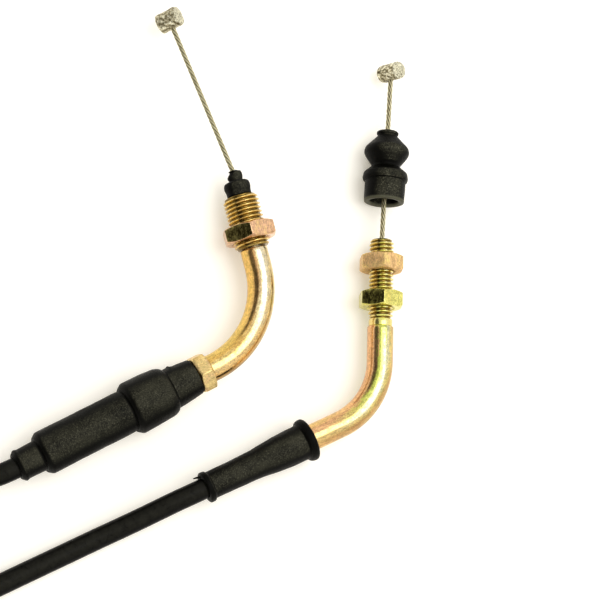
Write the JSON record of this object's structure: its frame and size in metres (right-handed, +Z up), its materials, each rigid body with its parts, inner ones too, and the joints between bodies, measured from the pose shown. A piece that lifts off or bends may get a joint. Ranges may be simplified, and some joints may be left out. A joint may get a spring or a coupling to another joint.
{
  "type": "throttle cable",
  "caption": "Scooter throttle cable with bent plated steel elbows, threaded adjusters, lock nuts, rubber boots and barrel nipples on a black conduit wound into a coil.",
  "frame": {"origin": "bottom centre of the box round the two end assemblies, the conduit's runs and coil left out, on the plane that the cable lies on", "axes": "+Y towards the free inner wires and their nipples, +X from the grip end towards the carburettor end, +Z up from the table"},
  "size_m": [0.1916, 0.1661, 0.0136],
  "materials": {
    "zinc_tube": "yellow chromate zinc plating, bright",
    "zinc_thread": "yellow chromate zinc plating",
    "zinc_nut_pink": "yellow chromate zinc plating with a pink tint",
    "zinc_nut_yellow": "yellow chromate zinc plating with a green-yellow tint",
    "cast_nipple": "rough cast zinc",
    "cable_wire": "stranded galvanised wire",
    "plain_steel": "plain pressed steel",
    "rubber_boot": "matte moulded rubber",
    "conduit_jacket": "satin extruded plastic",
    "liner": "natural nylon",
    "tie_strap": "moulded strap"
  },
  "bodies": {
    "conduit": {"conduit_grip_run": "conduit_jacket", "conduit_carb_run": "conduit_jacket", "conduit_coil": "conduit_jacket", "coil_tie_1": "tie_strap", "coil_tie_2": "tie_strap", "grip_boot": "rubber_boot", "grip_conduit_ferrule": "plain_steel", "grip_casing_winding": "plain_steel", "carb_sleeve": "rubber_boot", "carb_conduit_ferrule": "plain_steel", "carb_casing_winding": "plain_steel", "carb_elbow_tube": "zinc_tube", "carb_elbow_liner": "liner", "carb_elbow_core_wire": "cable_wire"},
    "grip_elbow": {"grip_elbow_tube": "zinc_tube", "grip_threaded_bush": "zinc_thread", "adjuster_screw": "zinc_nut_pink", "grip_seal_cap": "rubber_boot", "grip_elbow_liner": "liner", "grip_elbow_core_wire": "cable_wire"},
    "adjuster_barrel": {"adjuster_barrel": "zinc_thread"},
    "adjuster_lock_nut": {"adjuster_lock_nut": "zinc_nut_yellow"},
    "grip_lock_nut": {"grip_lock_nut": "zinc_nut_pink"},
    "grip_pull": {"grip_wire": "cable_wire", "grip_nipple": "cast_nipple"},
    "carb_pull": {"carb_wire": "cable_wire", "carb_nipple": "cast_nipple"},
    "carb_dust_boot": {"carb_dust_boot": "rubber_boot"},
    "carb_adjust_nut": {"carb_adjust_nut": "zinc_nut_pink"},
    "carb_lock_nut": {"carb_lock_nut": "zinc_nut_yellow"}
  },
  "joints": [
    {"name": "adjuster_turn", "type": "hinge", "parent": "conduit", "child": "adjuster_barrel", "pos_m": [-0.02911, -0.04379, 0.00682], "axis": [-0.8763, -0.4818, 0], "range_deg": [0, 1440]},
    {"name": "adjuster_travel", "type": "slide", "parent": "conduit", "child": "grip_elbow", "axis": [0.8763, 0.4818, 0], "range_m": [0, 0.004]},
    {"name": "adjuster_lock_travel", "type": "slide", "parent": "conduit", "child": "adjuster_lock_nut", "axis": [0.8763, 0.4818, 0], "range_m": [0, 0.002]},
    {"name": "grip_lock_nut_travel", "type": "slide", "parent": "grip_elbow", "child": "grip_lock_nut", "axis": [-0.2622, 0.965, 0], "range_m": [-0.0014, 0.0068]},
    {"name": "grip_pull_travel", "type": "slide", "parent": "grip_elbow", "child": "grip_pull", "axis": [-0.3971, 0.9178, 0], "range_m": [-0.003, 0.009]},
    {"name": "carb_pull_travel", "type": "slide", "parent": "conduit", "child": "carb_pull", "axis": [0.0628, 0.998, 0], "range_m": [-0.009, 0.003]},
    {"name": "dust_boot_travel", "type": "slide", "parent": "conduit", "child": "carb_dust_boot", "axis": [0.0628, 0.998, 0], "range_m": [-0.0095, 0.003]},
    {"name": "adjust_nut_travel", "type": "slide", "parent": "conduit", "child": "carb_adjust_nut", "axis": [0.0244, 0.9997, 0], "range_m": [-0.0024, 0.0034]},
    {"name": "lock_nut_travel", "type": "slide", "parent": "conduit", "child": "carb_lock_nut", "axis": [0.0244, 0.9997, 0], "range_m": [-0.0024, 0.0023]}
  ],
  "couplings": [
    {"joint": "adjuster_turn", "follows": "adjuster_travel", "rad_per_m": 6283.2},
    {"joint": "carb_pull_travel", "follows": "grip_pull_travel", "ratio": -1}
  ]
}
